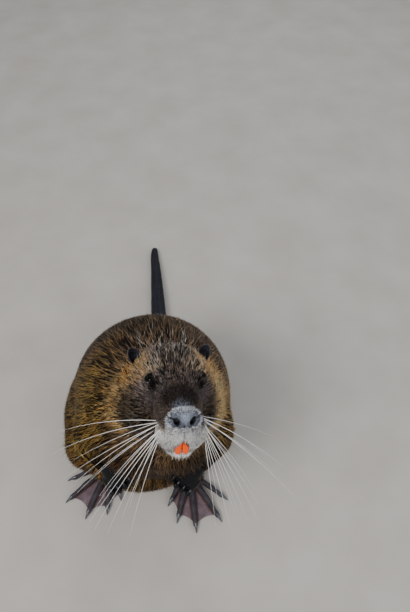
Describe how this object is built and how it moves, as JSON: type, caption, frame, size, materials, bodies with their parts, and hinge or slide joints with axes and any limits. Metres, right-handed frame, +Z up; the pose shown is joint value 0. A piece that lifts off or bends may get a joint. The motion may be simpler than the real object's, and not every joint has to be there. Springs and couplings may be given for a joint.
{
  "type": "coypu",
  "caption": "Life-size still model of a coypu sitting up on its haunches, head raised, forepaws held to the chest, long round tail laid straight back on the floor.",
  "frame": {"origin": "middle of the small flat under the rump, on the floor", "axes": "the animal faces -Y, its left side is +X, +Z is up"},
  "size_m": [0.3534, 0.6563, 0.3909],
  "materials": {
    "coat": "matte fur",
    "dark_coat": "matte fur",
    "muzzle": "matte fur",
    "nose": "damp bare skin",
    "bare_skin": "bare skin",
    "eye": "wet gloss",
    "enamel": "satin",
    "whisker": "satin"
  },
  "bodies": {
    "root": {"nose": "nose", "tail": "bare_skin", "incisors": "enamel", "head": "dark_coat", "lower_jaw": "muzzle", "hind_foot_left": "bare_skin", "hind_foot_right": "bare_skin", "forepaw_left": "bare_skin", "forepaw_right": "bare_skin", "ear_left": "bare_skin", "ear_right": "bare_skin", "eye_left": "eye", "eye_right": "eye", "whiskers_left": "whisker", "whiskers_right": "whisker", "trunk": "coat", "neck": "coat", "haunch_left": "coat", "haunch_right": "coat", "foreleg_left": "coat", "foreleg_right": "coat"}
  },
  "joints": []
}
